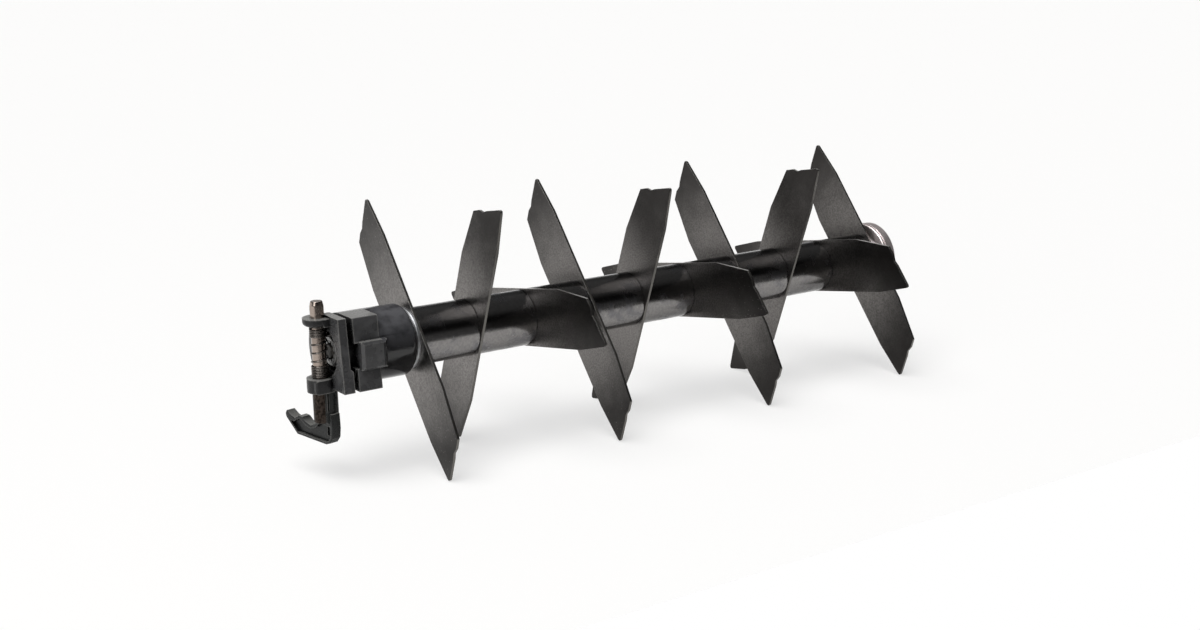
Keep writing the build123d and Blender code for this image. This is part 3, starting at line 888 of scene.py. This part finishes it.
def studio_world():
    """White behind the stage, and a dim room that only the steel reflects.

    The room has a pale back wall and a soft box high on the right.
    """
    world = bpy.data.worlds.new("studio_room")
    world.use_nodes = True
    tree = world.node_tree
    way = add(tree, "SeparateXYZ", (add(tree, "TexCoord").outputs["Generated"],)).outputs
    back = add(tree, "MapRange", (way["Y"], -0.2, 0.7, 0.12, 1.0), **SMOOTH)
    above = add(tree, "MapRange", (way["Z"], 0.12, 0.3, 1.0, 0.08), **SMOOTH)
    overhead = add(tree, "MapRange", (way["Z"], 0.5, 0.78, 0.0, 0.14), **SMOOTH)
    right = add(tree, "MapRange", (way["X"], 0.0, 0.4), **SMOOTH)
    soft_box = add(tree, "Math", (overhead, right), operation="MULTIPLY")
    room = add(tree, "Math", (back, above, soft_box), operation="MULTIPLY_ADD")
    camera = add(tree, "LightPath").outputs["Is Camera Ray"]
    level = add(tree, "Mix", (camera, room, 1.0))
    fill(tree, tree.nodes["Background"], {"Color": (1, 1, 1, 1), "Strength": level})
    bpy.context.scene.world = world


def photo_camera(settings):
    """Camera that stands and looks as the photograph's did."""
    camera = placed("camera", bpy.data.cameras.new("camera"))
    camera.data.lens = settings.lens
    camera.data.sensor_width = settings.sensor
    yaw = Matrix.Rotation(-settings.camera_yaw, 4, "Z")
    pitch = Matrix.Rotation(math.pi / 2 - settings.camera_pitch, 4, "X")
    roll = Matrix.Rotation(settings.camera_roll, 4, "Z")
    camera.matrix_world = Matrix.Translation(settings.camera_place) @ yaw @ pitch @ roll
    return camera


class ROTOR_OT_stage(bpy.types.Operator):
    """Card, lamps, room and camera"""

    bl_idname = "rotor.stage"
    bl_label = "Stage"

    def execute(self, context):
        settings = context.scene.rotor_studio
        middle = (cad_box[0] + cad_box[1]) / 2
        near_corner = (middle.x - settings.floor_reach, -settings.floor_front)
        far_corner = (middle.x + settings.floor_reach, settings.floor_reach)
        floor = sheet_of("floor", near_corner, far_corner, cad_box[0].z)
        floor.data.materials.append(card(settings))
        key_light(settings)
        fill_lamp(settings, middle)
        studio_world()
        context.scene.camera = photo_camera(settings)
        context.scene.view_settings.view_transform = "Standard"
        return {"FINISHED"}


SETTINGS = {
    "rotor_blades": BladeSettings,
    "rotor_sleeves": SleeveSettings,
    "rotor_block": BlockSettings,
    "rotor_pin": PinSettings,
    "rotor_steel": SteelSettings,
    "rotor_studio": StudioSettings,
}
OPERATORS = (
    ROTOR_OT_stage,
    ROTOR_OT_shaft,
    ROTOR_OT_bearings,
    ROTOR_OT_sleeves,
    ROTOR_OT_blades,
    ROTOR_OT_block,
    ROTOR_OT_lock_pin,
)


class ROTOR_PT_panel(bpy.types.Panel):
    """Lists the steps that dress the rotor"""

    bl_idname = "ROTOR_PT_panel"
    bl_label = "Scarifier rotor"
    bl_space_type = "VIEW_3D"
    bl_region_type = "UI"
    bl_category = "Rotor"

    def draw(self, context):
        for operator in OPERATORS:
            self.layout.operator(operator.bl_idname)
        for name, group in SETTINGS.items():
            box = self.layout.box()
            for size in group.__annotations__:
                box.prop(getattr(context.scene, name), size)


CLASSES = (*SETTINGS.values(), *OPERATORS, ROTOR_PT_panel)


def register():
    """Makes the settings, the steps and the panel known to Blender."""
    for group in CLASSES:
        bpy.utils.register_class(group)
    for name, group in SETTINGS.items():
        setattr(bpy.types.Scene, name, bpy.props.PointerProperty(type=group))


def unregister():
    """Takes the settings, the steps and the panel away again."""
    for name in SETTINGS:
        delattr(bpy.types.Scene, name)
    for group in reversed(CLASSES):
        bpy.utils.unregister_class(group)


def main():
    """Runs every step."""
    register()
    for operator in OPERATORS:
        family, name = operator.bl_idname.split(".")
        getattr(getattr(bpy.ops, family), name)()


if __name__ == "__main__":
    main()
